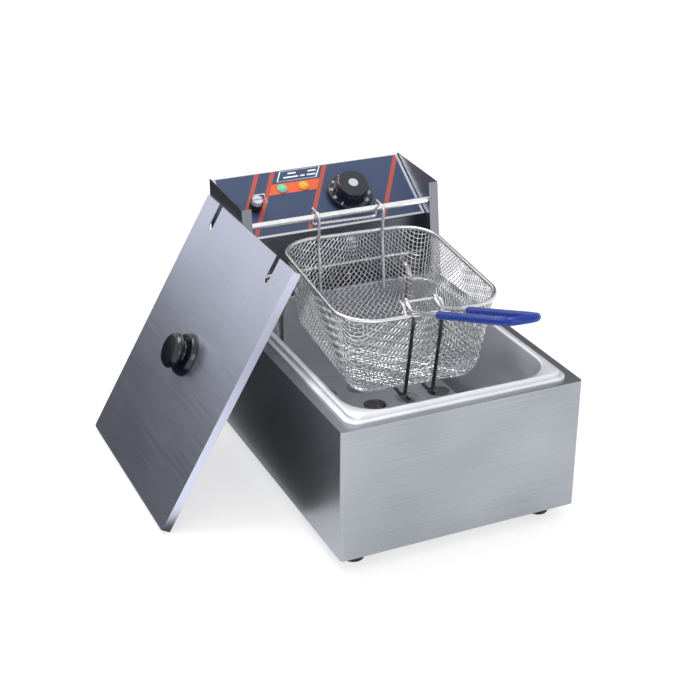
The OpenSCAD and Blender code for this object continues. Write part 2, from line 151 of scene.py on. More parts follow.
def object_noise(tree, scale, detail):
    """A noise that is fixed to the object, with its scale in patches to the metre."""
    place = add_node(tree, "ShaderNodeTexCoord").outputs["Object"]
    return add_node(tree, "ShaderNodeTexNoise",
                    {"Vector": place, "Scale": scale, "Detail": detail}).outputs["Fac"]


print("steel grey is", [round(c, 3) for c in linear("#b4b7bf")], "in linear light")

# %% [markdown]
# ## Brushed steel
# Stainless sheet for kitchen equipment is brushed: a belt of grit draws
# long shallow scratches along the sheet. They are what spreads its
# highlights and gives it a grain. A noise that is stretched a hundred times
# along the brushing makes the same grain. It changes the roughness a
# little, the colour a little, and the surface by a few thousandths of a
# millimetre. Real scratches are about 0.1 mm apart, too fine to show, so
# they are drawn 1.2 mm apart. The direction is an axis of the object, so
# each part gets its own material where the sheet was brushed another way.

# %% Brushed steel for the housing, the head and the lid
def brushed_steel(name, colour, roughness, along, grain=1.2, mottle=0.06):
    material = finish_of(name, colour, 1.0, roughness)
    tree = material.node_tree
    shader = tree.nodes["Principled BSDF"]
    across = 1 / (grain * MM)
    scale = [across / 100 if axis == along else across for axis in "XYZ"]
    place = add_node(tree, "ShaderNodeTexCoord").outputs["Object"]
    drawn = add_node(tree, "ShaderNodeMapping", {"Vector": place, "Scale": scale}).outputs[0]
    grit = add_node(tree, "ShaderNodeTexNoise", {"Vector": drawn, "Scale": 1.0, "Detail": 3.0})
    shade = add_node(tree, "ShaderNodeTexNoise", {"Vector": place, "Scale": 9.0, "Detail": 1.0})
    rough = add_node(tree, "ShaderNodeMapRange", {
        "Value": grit.outputs["Fac"], "To Min": roughness - 0.05, "To Max": roughness + 0.09})
    tree.links.new(rough.outputs[0], shader.inputs["Roughness"])
    both = maths(tree, "ADD", grit.outputs["Fac"], shade.outputs["Fac"])
    bright = add_node(tree, "ShaderNodeMapRange", {
        "Value": both, "From Min": 0.6, "From Max": 1.4,
        "To Min": 1 - mottle, "To Max": 1 + mottle})
    tint = add_node(tree, "ShaderNodeVectorMath", {0: linear(colour)[:3], "Scale": bright}, operation="SCALE")
    tree.links.new(tint.outputs[0], shader.inputs["Base Color"])
    relief = add_node(tree, "ShaderNodeBump", {
        "Height": grit.outputs["Fac"], "Strength": 0.12, "Distance": 0.05 * MM})
    tree.links.new(relief.outputs[0], shader.inputs["Normal"])
    return material


# Satin 430 stainless sheet: a soft grey that takes on its surroundings.
housing_sheet = brushed_steel("brushed stainless housing sheet", "#9fa2a9", 0.33, "X", mottle=0.16)
# The same sheet folded for the head, brushed up and down and left a little darker.
head_sheet = brushed_steel("brushed stainless head sheet", "#8d9098", 0.32, "Z")
# The riser and the plate under it sit in shade, so their sheet is painted darker: painted shade.
riser_sheet = brushed_steel("painted shade stainless sheet", "#6a6d76", 0.36, "X")
# The panel's own steel shows only as a bright frame round the printed film.
panel_sheet = brushed_steel("brushed stainless panel sheet", "#c6c8cf", 0.3, "X")
# The lid is brushed along its length and is the smoothest sheet of all.
lid_sheet = brushed_steel("brushed stainless lid sheet", "#c9cde0", 0.34, "Y", mottle=0.08)
# Pierced plate over the element: satin, pale from many washes.
guard_plate = brushed_steel("washed stainless guard plate", "#c2c4c8", 0.38, "X")
print("six steels share one brushed pattern")

# %% [markdown]
# ## Drawn steel, wire and tube
# The tank is pressed from one sheet. Pressing stretches the steel and
# leaves it satin, with faint cloudy patches and no brushing. The basket's
# wire is nickel plated and bright, the rail is polished tube, and the
# heating element's sheath is a nickel alloy that heat has dulled.

# %% Metals without a grain
# Deep drawn stainless: satin with soft clouds, about 35 mm across.
tank_steel = finish_of("deep drawn stainless tank", "#e4e5ea", 1.0, 0.27)
tree = tank_steel.node_tree
satin = add_node(tree, "ShaderNodeMapRange", {
    "Value": object_noise(tree, 28.0, 2.0), "From Min": 0.3, "From Max": 0.7, "To Min": 0.42, "To Max": 0.58})
tree.links.new(satin.outputs[0], tree.nodes["Principled BSDF"].inputs["Roughness"])

# Bright nickel plate on drawn wire.
plated_wire = finish_of("nickel plated wire", "#d6d6d8", 1.0, 0.28)
# The same wire painted dark where it runs in shade down the front and under the basket: painted shade.
dark_wire = finish_of("painted shade wire", "#505054", 1.0, 0.4)
# Polished stainless tube.
polished_tube = finish_of("polished stainless tube", "#f0f1f3", 1.0, 0.16)
# Nickel alloy sheath, dulled and faintly yellowed by heat.
element_sheath = finish_of("heat tinted element sheath", "#d3d0cc", 1.0, 0.3)
# Bright zinc plate on screws and nuts.
zinc_plate = finish_of("bright zinc plate", "#b7b9b4", 1.0, 0.32)
# Nickel plated bulb and capillary of a thermostat.
plated_bulb = finish_of("nickel plated bulb", "#9c9891", 1.0, 0.35)
# Machined brass earth stud.
machined_brass = finish_of("machined brass", "#c9a255", 1.0, 0.25)
# Spun aluminium disc and its spindle.
spun_aluminium = finish_of("spun aluminium", "#d4d5d8", 1.0, 0.3)
print("nine plain metals")

# %% [markdown]
# ## Plastics, rubber and printed film
# Everything that isn't metal is moulded, dipped or printed. Each one is a
# dielectric, so its highlight is white and its colour comes from below the
# surface. Gloss is what tells them apart: the dipped vinyl grip and the
# phenolic knobs are shiny, the moulded nylon is dull, and rubber is duller.
# The printed film has the fine grain that keeps fingerprints from showing.

# %% Plastics, rubber and film
# Phenolic knob: black, dense and glossy, with a coat of polish.
phenolic_knob = finish_of("glossy black phenolic", "#0b0f18", 0.0, 0.24,
                          Coat_Weight=0.15, Coat_Roughness=0.08)
# Dial moulded in black ABS; the blue in its colour is a painted sheen, for the bluish light it shows under
# soft light.
dial_abs = finish_of("black ABS dial", "#0c1422", 0.0, 0.2, Coat_Weight=0.3, Coat_Roughness=0.1)
# White hot stamped numbers and ticks.
stamped_white = finish_of("white hot stamp", "#e9ebee", 0.0, 0.45)
# Dipped PVC grip: saturated blue, glossy and slightly soft.
dipped_pvc = finish_of("dipped blue PVC", "#042c84", 0.0, 0.3, Specular_IOR_Level=0.35)
# Nylon, rubber and the electrical mouldings.
moulded_nylon = finish_of("moulded black nylon", "#1a1a1c", 0.0, 0.45)
foot_rubber = finish_of("black rubber", "#161617", 0.0, 0.75)
cream_urea = finish_of("cream urea moulding", "#d8d2bd", 0.0, 0.45)
brown_phenolic = finish_of("brown phenolic moulding", "#5a4a35", 0.0, 0.4)
fuse_grey = finish_of("grey fuse cap", "#b9bec8", 0.0, 0.3)
fuse_glass = finish_of("fuse glass", "#dfe9e8", 0.0, 0.05, Transmission_Weight=0.8, IOR=1.5)
# Tinted lenses. They are unlit, so only the room lights them.
green_lens = finish_of("green tinted lens", "#6fc2a0", 0.0, 0.12, Coat_Weight=0.8)
amber_lens = finish_of("amber tinted lens", "#e8a51c", 0.0, 0.12, Coat_Weight=0.8)

# Polyester film printed on its back, with a fine grain of about 0.4 mm on its face.
navy_film = finish_of("navy printed polyester film", "#2f3e5d", 0.0, 0.34)
tree = navy_film.node_tree
relief = add_node(tree, "ShaderNodeBump", {
    "Height": object_noise(tree, 1 / (0.4 * MM), 1.0), "Strength": 0.15, "Distance": 0.03 * MM})
tree.links.new(relief.outputs[0], tree.nodes["Principled BSDF"].inputs["Normal"])
# Screen printed inks.
red_ink = finish_of("brick red ink", "#a5453a", 0.0, 0.4)
orange_ink = finish_of("orange ink", "#d6592c", 0.0, 0.4)
white_ink = finish_of("white ink", "#e4e7ee", 0.0, 0.4)
print("sixteen plastics and inks")

# %% [markdown]
# ## What each process leaves on the surface
# No real surface is one even colour. Dipping leaves soft ripples, a mould
# leaves a fine grain, plating clouds a little, and hot oil leaves brown
# patches. One noise for each material gives it patches of a size in
# millimetres, and they change its colour, its gloss and its height a little.
# Grain finer than 0.5 mm can't be seen from here, so it is drawn that big.

# %% Give the wires, plastics and inks their own patches
def with_patches(material, size, mottle, spread, relief):
    tree = material.node_tree
    shader = tree.nodes["Principled BSDF"]
    colour, gloss = (shader.inputs[s].default_value for s in ("Base Color", "Roughness"))
    patches = object_noise(tree, 1 / (size * MM), 2.0)
    bright, rough = [
        add_node(tree, "ShaderNodeMapRange", {
            "Value": patches, "From Min": 0.3, "From Max": 0.7, "To Min": low, "To Max": high})
        for low, high in ((1 - mottle, 1 + mottle), (gloss - spread, gloss + spread))
    ]
    tint = add_node(tree, "ShaderNodeVectorMath", {0: list(colour)[:3], "Scale": bright}, operation="SCALE")
    height = add_node(tree, "ShaderNodeBump", {"Height": patches, "Strength": 0.3, "Distance": relief * MM})
    for socket, source in (("Base Color", tint), ("Roughness", rough), ("Normal", height)):
        tree.links.new(source.outputs[0], shader.inputs[socket])


# Patch size in mm, spread of colour, spread of roughness, and height in mm
patched = [
    (plated_wire, 3, 0.08, 0.05, 0.004), (dark_wire, 4, 0.35, 0.1, 0.04),
    (polished_tube, 12, 0.05, 0.04, 0.01), (element_sheath, 9, 0.14, 0.08, 0.02),
    (plated_bulb, 6, 0.1, 0.08, 0.02), (phenolic_knob, 5, 0.2, 0.05, 0.02),
    (dial_abs, 1.0, 0.15, 0.05, 0.01), (stamped_white, 0.5, 0.06, 0.05, 0.01),
    (dipped_pvc, 12, 0.08, 0.07, 0.03), (moulded_nylon, 0.8, 0.15, 0.06, 0.02),
    (foot_rubber, 0.8, 0.25, 0.06, 0.03), (cream_urea, 3, 0.06, 0.05, 0.01),
    (brown_phenolic, 1.5, 0.2, 0.05, 0.01), (fuse_grey, 1.5, 0.06, 0.06, 0.01),
    (green_lens, 3, 0.06, 0.04, 0.01), (amber_lens, 3, 0.06, 0.04, 0.01),
    (red_ink, 0.6, 0.08, 0.06, 0.01), (orange_ink, 0.6, 0.08, 0.06, 0.01),
    (white_ink, 0.6, 0.05, 0.06, 0.01),
]
for recipe in patched:
    with_patches(*recipe)
print(len(patched), "materials carry patches")

# %% [markdown]
# ## The studio
# The fryer stands on a light table, a white floor that is lit from beneath,
# so that its shadow stays pale. The world gives an even fill, and one large
# lamp above gives the highlights. Steel has no look of its own: it shows
# the room. So dark cards are set out of sight, as is done for chrome
# in any studio: one on the floor at the left, a low one standing behind it
# that darkens the lid's lower half, and one at the back. They are seen only
# by reflections.

# %% Floor, world, lamps, cards and camera
def in_scene(name, data):
    thing = bpy.data.objects.new(name, data)
    bpy.context.scene.collection.objects.link(thing)
    return thing


def flat_card(name, centre, width, height, facing):
    mesh = bpy.data.meshes.new(name)
    corners = [(-width / 2, -height / 2, 0), (width / 2, -height / 2, 0),
               (width / 2, height / 2, 0), (-width / 2, height / 2, 0)]
    mesh.from_pydata(corners, [], [(0, 1, 2, 3)])
    turn = Vector(facing).to_track_quat("Z", "Y").to_matrix().to_4x4()
    mesh.transform(Matrix.Translation(centre) @ turn)
    card = in_scene(name, mesh)
    card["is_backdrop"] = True
    return card


def area_lamp(name, place, aim, size, watts):
    lamp = bpy.data.lights.new(name, "AREA")
    lamp.shape, lamp.size, lamp.energy = "DISK", size, watts
    holder = in_scene(name, lamp)
    holder.location = place
    holder.rotation_euler = (Vector(aim) - Vector(place)).to_track_quat("-Z", "Y").to_euler()


scene = bpy.context.scene
scene.view_settings.view_transform = "Standard"
world = bpy.data.worlds.new("white studio")
world.use_nodes = True
sky = world.node_tree.nodes["Background"].inputs
sky["Color"].default_value, sky["Strength"].default_value = linear("#ffffff"), 1.0
scene.world = world

floor = flat_card("studio_floor", (0, 0, -FOOT_H * MM), 30, 30, (0, 0, 1))
floor.data.materials.append(finish_of(
    "opal light table", "#b8b8b8", 0.0, 0.9, Emission_Color=linear("#ffffff"), Emission_Strength=0.6))
black_paper = finish_of("black studio card", "#050506", 0.0, 0.9)
cards = [
    flat_card("side_card", (-1.76, 1.42, 0.5 * MM - FOOT_H * MM), 3.2, 3.0, (0, 0, 1)),
    flat_card("low_card", (-0.85, 0.75, 0.115), 2.4, 0.25, (0.565, -0.825, 0)),
    flat_card("back_card", (1.6, 2.4, 1.3), 2.4, 1.9, (-0.3, -1, -0.25)),
]
for card in cards:
    card.data.materials.append(black_paper)
    card.visible_camera = card.visible_diffuse = card.visible_shadow = False
    card.visible_transmission = False

area_lamp("key_lamp", (-0.5, 0.7, 2.3), (0, 0, 0.1), 1.3, 28)
area_lamp("fill_lamp", (-0.6, -2.2, 1.0), (0, 0, 0.1), 1.2, 10)

CAMERA_PLACE, LENS, SENSOR = (-0.6755, -1.3750, 0.8604), 74.4, 36
azimuth, elevation, roll = (math.radians(a) for a in (-24.92, 25.56, 0.28))
backward = Vector((
    math.sin(azimuth) * math.cos(elevation),
    -math.cos(azimuth) * math.cos(elevation),
    math.sin(elevation),
))
level = (-backward).cross(Vector((0, 0, 1))).normalized()
upward = level.cross(-backward)
right = math.cos(roll) * level + math.sin(roll) * upward
upward = math.cos(roll) * upward - math.sin(roll) * level
camera = in_scene("camera", bpy.data.cameras.new("camera"))
camera.data.lens, camera.data.sensor_width = LENS, SENSOR
camera.matrix_world = Matrix.Translation(CAMERA_PLACE) @ Matrix(
    (right, upward, backward)).transposed().to_4x4()
scene.camera = camera
print("the camera stands", round(Vector(CAMERA_PLACE).length, 2), "m away with a", LENS, "mm lens")

# %% [markdown]
# ## Making pieces
# Three things happen to nearly every piece: its mesh becomes an object at
# the origin, it gets its finish, and it is tied to the CAD body that it
# rides on. One function does all three. It also shades the piece smooth
# except over its real edges, and says what was made.

# %% Place a mesh as a piece of the fryer
def place_piece(name, mesh, material, body, replaces=(), edge_angle=35):
    mesh.name = name
    piece = in_scene(name, mesh)
    mesh.materials.clear()
    mesh.materials.append(material)
    mesh.shade_smooth()
    mesh.set_sharp_from_angle(angle=math.radians(edge_angle))
    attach(piece, body)
    if replaces:
        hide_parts(*replaces)
    print(name, len(mesh.polygons), "faces on", body)
    return piece


def mesh_from(points, faces, matrix=None, edges=()):
    """A mesh drawn in mm, carried to its place by the matrix, in metres."""
    mesh = bpy.data.meshes.new("draft")
    mesh.from_pydata([tuple(p) for p in points], list(edges), list(faces))
    if matrix is not None:
        mesh.transform(matrix)
    mesh.transform(Matrix.Scale(MM, 4))
    return mesh


# %% [markdown]
# ## Folded sheet: soften the CAD edges
# Folded steel has no knife edges. Every fold has a radius of about half a
# millimetre, and that thin line is what catches the light. The CAD mesh is
# made of loose triangles, so a copy is merged, its flat faces are joined
# back together, and a narrow bevel rounds every real edge. The copy then
# stands in for the CAD node, which is never changed itself.

# %% A softened copy of a CAD node
def soften(node, name, material, body, radius):
    mesh = nodes[node].data.copy()
    work = bmesh.new()
    work.from_mesh(mesh)
    bmesh.ops.remove_doubles(work, verts=work.verts, dist=1e-6)
    bmesh.ops.dissolve_limit(work, angle_limit=math.radians(1), verts=work.verts, edges=work.edges)
    work.to_mesh(mesh)
    work.free()
    piece = place_piece(name, mesh, material, body, [node])
    bevel = piece.modifiers.new("rounded folds", "BEVEL")
    bevel.width, bevel.segments, bevel.harden_normals = radius * MM, 2, True
    bevel.limit_method, bevel.angle_limit = "ANGLE", math.radians(40)


soften("housing_shell", "housing_sheet", housing_sheet, "housing", 0.5)
soften("head_cheek_left", "left_cheek", head_sheet, "head", 0.35)
soften("head_cheek_right", "right_cheek", head_sheet, "head", 0.35)
soften("control_panel", "panel_sheet", panel_sheet, "head", 0.3)
soften("riser_plate", "riser", riser_sheet, "head", 0.3)
soften("lid_panel", "lid_sheet", lid_sheet, "lid", 0.45)

# %% [markdown]
# ## The oil tank: a loft of rounded rectangles
# The tank is deep drawn, so every section across it is a rectangle with
# round corners, and only its size and corner radius change with height.
# That is a loft. A list of rings goes up the outside, over the two steps
# of the rim and the lip, and down the inside to the floor. Joining each
# ring to the next gives the whole skin, and the two ends are closed, so
# the wall has a real thickness and every face looks outward.

# %% Loft the tank
def rounded_ring(width, depth, radius, z, steps=10):
    ring = []
    for corner, (sx, sy) in enumerate(((1, 1), (-1, 1), (-1, -1), (1, -1))):
        for k in range(steps + 1):
            turn = math.radians(90 * corner + 90 * k / steps)
            ring.append((sx * (width / 2 - radius) + radius * math.cos(turn),
                         sy * (depth / 2 - radius) + radius * math.sin(turn), z))
    return ring


def loft(rings):
    count = len(rings[0])
    faces = [(low + k, low + (k + 1) % count, low + count + (k + 1) % count, low + count + k)
             for low in range(0, (len(rings) - 1) * count, count) for k in range(count)]
    faces.append(tuple(reversed(range(count))))
    faces.append(tuple(range((len(rings) - 1) * count, len(rings) * count)))
    return [p for ring in rings for p in ring], faces


SHEET, WALL_DRAFT = 0.9, 2    # the sheet's thickness, and how far each wall leans out
WELL_CORNER, LIP_H = 39.5, 3  # the well's corner radius, and the height of the lip round it
STEP_IN = 11                  # how much narrower the rim's upper step is than its lower one


def drawn_well(width, depth, floor_z, edge, corner, top_z):
    """Rings from the floor, round its edge radius and up the leaning wall to the top."""
    foot_w, foot_d = (size - 2 * (edge + WALL_DRAFT) for size in (width, depth))
    rings = []
    for turn in (math.radians(a) for a in (15, 30, 45, 60, 75, 90)):
        bulge = edge * math.sin(turn)
        rings.append(rounded_ring(foot_w + 2 * bulge, foot_d + 2 * bulge, bulge,
                                  floor_z + edge * (1 - math.cos(turn))))
    rings.append(rounded_ring(width, depth, corner, top_z))
    return rings


inside = drawn_well(WELL_W, WELL_D, WELL_FLOOR + 0.3, 24, WELL_CORNER, TANK_TOP - LIP_H)
outside = drawn_well(WELL_W + 2 * SHEET, WELL_D + 2 * SHEET, WELL_FLOOR - 0.8, 25,
                     WELL_CORNER + SHEET, BODY_H)
# Each pair rounds an edge: how far a ring lies from the outline, and its height
lip = [rounded_ring(WELL_W + 2 * x, WELL_D + 2 * x, WELL_CORNER + x, TANK_TOP - LIP_H + z)
       for x, z in ((0.25, 1.3), (0.9, 2.3), (1.9, 2.85), (3.2, 3))]
upper = [rounded_ring(TANK_W - STEP_IN - 2 * x, TANK_D - STEP_IN - 2 * x, 12 - x * 0.5, TANK_TOP - z)
         for x, z in ((1.6, 0), (0.5, 0.45), (0, 1.6), (0, 4.9))]
lower = [rounded_ring(TANK_W - 2 * x, TANK_D - 2 * x, 15 - x * 0.5, BODY_H + z)
         for x, z in ((1.2, 2.6), (0.3, 2.2), (0, 1.3), (0, 0))]
points, faces = loft(outside + (inside + lip + upper + lower)[::-1])
place_piece("drawn_tank", mesh_from(points, faces, Matrix.Translation((0, TANK_Y, 0))), tank_steel,
            "tank", ["oil_tank"], edge_angle=50)

# %% [markdown]
# ## Wire along a path
# Half of this fryer is bent wire: the basket's rim, hook and braces, the
# handle, the rail, the element. Each is a round section that follows a
# path, so one Geometry Nodes tree serves them all. It takes the path as a
# mesh of edges, turns it into a curve, sweeps a circle along it, and closes
# the ends. Diameter, number of sides and material are its named inputs.

# %% Build the wire tree
def named_tree(name, inputs):
    """A tree that takes a mesh and these named inputs and gives a mesh."""
    tree = bpy.data.node_groups.new(name, "GeometryNodeTree")
    for label, kind in {"Geometry": "Geometry", **inputs}.items():
        tree.interface.new_socket(label, in_out="INPUT", socket_type="NodeSocket" + kind)
    tree.interface.new_socket("Geometry", in_out="OUTPUT", socket_type="NodeSocketGeometry")
    return tree, add_node(tree, "NodeGroupInput").outputs


wire_tree, given = named_tree(
    "wire along a path", {"Diameter": "Float", "Sides": "Int", "Material": "Material"})
path = add_node(wire_tree, "GeometryNodeMeshToCurve", {0: given["Geometry"]})
half = maths(wire_tree, "MULTIPLY", given["Diameter"], 0.5)
section = add_node(wire_tree, "GeometryNodeCurvePrimitiveCircle",
                   {"Resolution": given["Sides"], "Radius": half})
swept = add_node(wire_tree, "GeometryNodeCurveToMesh",
                 {"Curve": path, "Profile Curve": section, "Fill Caps": True})
solid = add_node(wire_tree, "GeometryNodeRealizeInstances", {0: swept})
coated = add_node(wire_tree, "GeometryNodeSetMaterial", {"Geometry": solid, "Material": given["Material"]})
add_node(wire_tree, "NodeGroupOutput", {0: coated})
print("the wire tree has", len(wire_tree.nodes), "nodes")

# %% [markdown]
# ## From a tree to a plain piece
# A piece has to be a plain mesh, so a tree runs once on a draft object and
# its result is copied out. Two helpers then draw with it: one sweeps a wire
# along paths, and one rounds a path's corners as a bending machine would.

# %% Run a tree on a mesh and keep the plain result
def run_tree(mesh, tree, values):
    draft = in_scene("draft", mesh)
    modifier = draft.modifiers.new(tree.name, "NODES")
    modifier.node_group = tree
    sockets = {s.name: s.identifier for s in tree.interface.items_tree if s.in_out == "INPUT"}
    for label, value in values.items():
        modifier[sockets[label]] = value
    depsgraph = bpy.context.evaluated_depsgraph_get()
    result = bpy.data.meshes.new_from_object(draft.evaluated_get(depsgraph))
    bpy.data.objects.remove(draft)
    return result


def bent_wire(name, paths, diameter, sides, material, body, replaces=(), place=None, closed=False):
    """One piece of wire along each path of points in mm; a closed path ends where it starts."""
    points, edges = [], []
    for one in paths:
        first = len(points)
        points += one
        edges += [(first + i, first + i + 1) for i in range(len(one) - 1)]
        if closed:
            edges.append((len(points) - 1, first))
    draft = mesh_from(points, [], place, edges)
    wire = run_tree(draft, wire_tree, {"Diameter": diameter * MM, "Sides": sides, "Material": material})
    return place_piece(name, wire, material, body, replaces, edge_angle=60)


def one_bend(before, corner, after, starts, steps):
    """Points round one corner; starts says how far from it the bend begins and ends."""
    start, end = (corner + gap * (p - corner) / np.linalg.norm(p - corner)
                  for gap, p in zip(starts, (before, after)))
    return [(1 - s) ** 2 * start + 2 * s * (1 - s) * corner + s * s * end
            for s in (k / steps for k in range(steps + 1))]


def rounded_bends(points, radius, steps=8):
    """The path with each corner turned into a smooth bend that starts radius mm from it."""
    points = [np.array(p, float) for p in points]
    route = [points[0]]
    for before, corner, after in zip(points, points[1:], points[2:]):
        route += one_bend(before, corner, after, (radius, radius), steps)
    return [tuple(p) for p in [*route, points[-1]]]


print("trees can be run and wire can be bent")

# %% [markdown]
# ## The riser's rolled hem
# The lower edge of the riser is rolled under into a round hem, which
# stiffens it and is rubbed bright by cleaning. It is one straight wire
# along the edge.

# %% Roll the hem
hem = [(-122, 125.4, 189), (122, 125.4, 189)]
bent_wire("riser_hem", [hem], 4.6, 16, polished_tube, "head")

# %% [markdown]
# ## The basket's frame
# The rim is one ring of 5 mm wire with large round corners. A 4 mm wire
# climbs the back wall, hooks over the rail, crosses at the back and comes
# down again. Two braces run down the front and under the floor, and a
# bracket on the rim carries the short bar that the handle turns on.

# %% Bend the basket's frame
RIM_WIRE, FRAME_WIRE, RIM_CORNER = 5, 4, 43
HOOK_LEFT, HOOK_RIGHT, HOOK_TOP, HOOK_CROSS = -44.3, 37.7, 32, 10
HOOK_FRONT, HOOK_BACK = -4.6, 18.3  # Y where it rises before the rail, and where it comes down behind it
rim_loop = [(x, y - BASKET_D / 2, 0) for x, y, _ in rounded_ring(BASKET_W, BASKET_D, RIM_CORNER, 0, 14)]
bent_wire("basket_rim_wire", [rim_loop], RIM_WIRE, 16, plated_wire, "basket",
          ["basket_rim"], in_basket, closed=True)


def back_wall_y(z):
    """Y just inside the back wall, which leans 12.5 mm in 74.5 mm of height."""
    return (z + RIM_WIRE / 2) * 12.5 / 74.5 - 3.8


profile = [(back_wall_y(-70), -70), (back_wall_y(-8), -8), (HOOK_FRONT, 2),
           (HOOK_FRONT, HOOK_TOP), (HOOK_BACK, HOOK_TOP), (HOOK_BACK, HOOK_CROSS)]
hook_path = [(HOOK_LEFT, y, z) for y, z in profile] + [(HOOK_RIGHT, y, z) for y, z in reversed(profile)]
bent_wire("basket_hook_wire", [rounded_bends(hook_path, 4.8)], FRAME_WIRE, 14, plated_wire,
          "basket", ["basket_hook"], in_basket)



def both_sides(half, profile, bend):
    """One bent path of (Y, Z) points on each side of the handle's middle."""
    return [rounded_bends([(HANDLE_X + side * half, y, z) for y, z in profile], bend) for side in (-1, 1)]


# The braces take the wire that is painted dark for the shade they run in: painted shade.
braces = both_sides(HANDLE_HALF, [(y - BASKET_D, z) for y, z in (
    (-4.4, 0), (-4.6, -5), (9.5, -101), (22, -107.2), (60, -107.2))], 4)
bent_wire("basket_brace_wires", braces, FRAME_WIRE, 14, dark_wire, "basket",
          ["basket_braces"], in_basket)

bar_y, bar_z = 17.5 - BASKET_D, 8.4
brackets = both_sides(
    22, [(bar_y + 3, bar_z), (bar_y - 6, bar_z), (4.8 - BASKET_D, 0), (5.4 - BASKET_D, -7)], 2.5)
bent_wire("handle_bracket_wires", brackets, FRAME_WIRE, 14, plated_wire, "basket",
          ["handle_bracket"], in_basket)

# %% [markdown]
# ## The woven walls
# The basket is pressed from one flat sheet of woven wire, laid on the bias:
# its wires cross the floor at 45 degrees. Pressing can't stretch a wire, so
# the squares shear into diamonds instead. A texture can't do that, so the
# wires are drawn as they lie. First comes the form: a function that takes
# any points to the nearest points of the pressed shape, and their normals.

# %% The form that the sheet is pressed over
HALF_FLAT = np.array((54.25, 72.95))    # half the flat floor, X and Y
HALF_MOUTH = np.array((93.85, 112.55))  # half the mouth, X and Y
EDGE_R, MOUTH_R = 26.9, 42.0            # radius at the floor's edge, and of the corners at the rim
WALL_FOOT, WALL_RISE = 28 - BASKET_H, 76.2
WIRE, WAVE = 1.1, 0.5                   # the wire's diameter, and its lift at each crossing


def on_form(points):
    """The nearest points of the pressed form, and its outward normals there, in basket mm."""
    up = np.maximum(points[:, 2] - WALL_FOOT, 0) / WALL_RISE
    low = points[:, 2] < WALL_FOOT
    radius = EDGE_R + up * (MOUTH_R - EDGE_R)
    core = HALF_FLAT + EDGE_R - radius[:, None] + up[:, None] * (HALF_MOUTH - HALF_FLAT - EDGE_R)
    held = np.clip(points[:, :2], -core, core)
    away = np.zeros_like(points)
    away[:, :2] = points[:, :2] - held
    away[low, 2] = points[low, 2] - WALL_FOOT
    away /= np.maximum(np.linalg.norm(away, axis=1), 1e-9)[:, None]
    place = np.column_stack((held, np.where(low, WALL_FOOT, points[:, 2]))) + radius[:, None] * away
    return place, away


sample, _ = on_form(np.array([(0.0, 0.0, -100.0), (90.0, 0.0, -40.0)]))
print("floor at", round(float(sample[0, 2]), 1), "and at 40 mm down the wall is",
      round(float(sample[1, 0]), 1), "mm out")

# %% [markdown]
# Next the sheet is laid on the form, crossing by crossing. Four wires run
# straight up the four corners, and they are stepped off first. Every other
# crossing is then fixed by the two before it: it lies on the form, one
# pitch from each. Cloth cutters call this the fishnet method. Nobody has to
# draw the wires' curves, for they come out of it by themselves: level and
# upright at the corners, long swoops beside them, and steep diamonds in the
# middle of each wall. The pitch makes the corner wires a whole number
# of pitches apart.

# %% Lay the sheet, one crossing after another
PITCHES_BETWEEN = 5
PITCH = math.sqrt(2) * (HALF_FLAT[1] - HALF_FLAT[0]) / PITCHES_BETWEEN
REACH = 46


def corner_wire(start, heading):
    """Crossings one pitch apart from a start on the floor, straight on over the form."""
    wire = [np.array(start), np.array(start) + PITCH * np.array(heading)]
    while len(wire) < REACH:
        ahead = 2 * wire[-1] - wire[-2]
        for _ in range(6):
            gap = ahead - wire[-1]
            ahead = on_form((wire[-1] + gap * PITCH / np.linalg.norm(gap))[None])[0][0]
        wire.append(ahead)
    return np.array(wire)


def settled(guess, first, second):
    """Points of the form that are one pitch from both neighbours, found from a near guess."""
    for _ in range(10):
        guess, normal = on_form(guess)
        pulls = []
        for neighbour in (first, second):
            gap = guess - neighbour
            length = np.linalg.norm(gap, axis=1)
            along = gap / length[:, None]
            along -= normal * (along * normal).sum(axis=1)[:, None]
            pulls.append((along, PITCH - length))
        (a, short_a), (b, short_b) = pulls
        aa, bb, ab = (a * a).sum(axis=1), (b * b).sum(axis=1), (a * b).sum(axis=1)
        spread = np.maximum(aa * bb - ab * ab, 0.02)
        guess = guess + a * ((short_a * bb - short_b * ab) / spread)[:, None]
        guess = guess + b * ((short_b * aa - short_a * ab) / spread)[:, None]
    return on_form(guess)[0]


def net_between(first_wire, second_wire):
    """All the crossings between two corner wires that start at one crossing."""
    net = np.empty((REACH, REACH, 3))
    net[:, 0], net[0, :] = first_wire, second_wire
    for step in range(2, 2 * REACH - 1):
        i = np.arange(max(1, step - REACH + 1), min(step, REACH))
        j = step - i
        guess = net[i - 1, j] + net[i, j - 1] - net[i - 1, j - 1]
        net[i, j] = settled(guess, net[i - 1, j], net[i, j - 1])
    return net


offset, floor_z, diagonal = HALF_FLAT[1] - HALF_FLAT[0], WALL_FOOT - EDGE_R, math.sqrt(0.5)
side_net, end_net = [
    net_between(corner_wire((*start, floor_z), (diagonal, diagonal, 0)),
                corner_wire((*start, floor_z), (*other, 0)))
    for start, other in (((-offset, 0), (diagonal, -diagonal)), ((0, offset), (-diagonal, diagonal)))
]
near, far = REACH - 1, REACH - 1 + PITCHES_BETWEEN
knots = np.full((far + REACH, far + REACH, 3), np.nan)
knots[far:, near::-1] = end_net
knots[near::-1, far:] = end_net * (-1, -1, 1)
knots[near : near + REACH, near : near + REACH] = side_net
knots[far - REACH + 1 : far + 1, far - REACH + 1 : far + 1] = side_net[::-1, ::-1] * (-1, -1, 1)
links = np.linalg.norm(np.diff(knots, axis=0), axis=-1)[knots[1:, :, 2] < 0] / PITCH
print("pitch", round(PITCH, 2), "mm; link over pitch from", round(float(links.min()), 3),
      "to", round(float(links.max()), 3))

# %% [markdown]
# The two directions of wire become two pieces, so that neither mesh grows
# too large. Each wire is followed from crossing to crossing, over one and
# under the next, with a point halfway between. It is cut where it meets the
# rim, so that its ends are hidden inside the rim wire.

# %% Draw the wires of each direction
RIM_CUT = -0.8


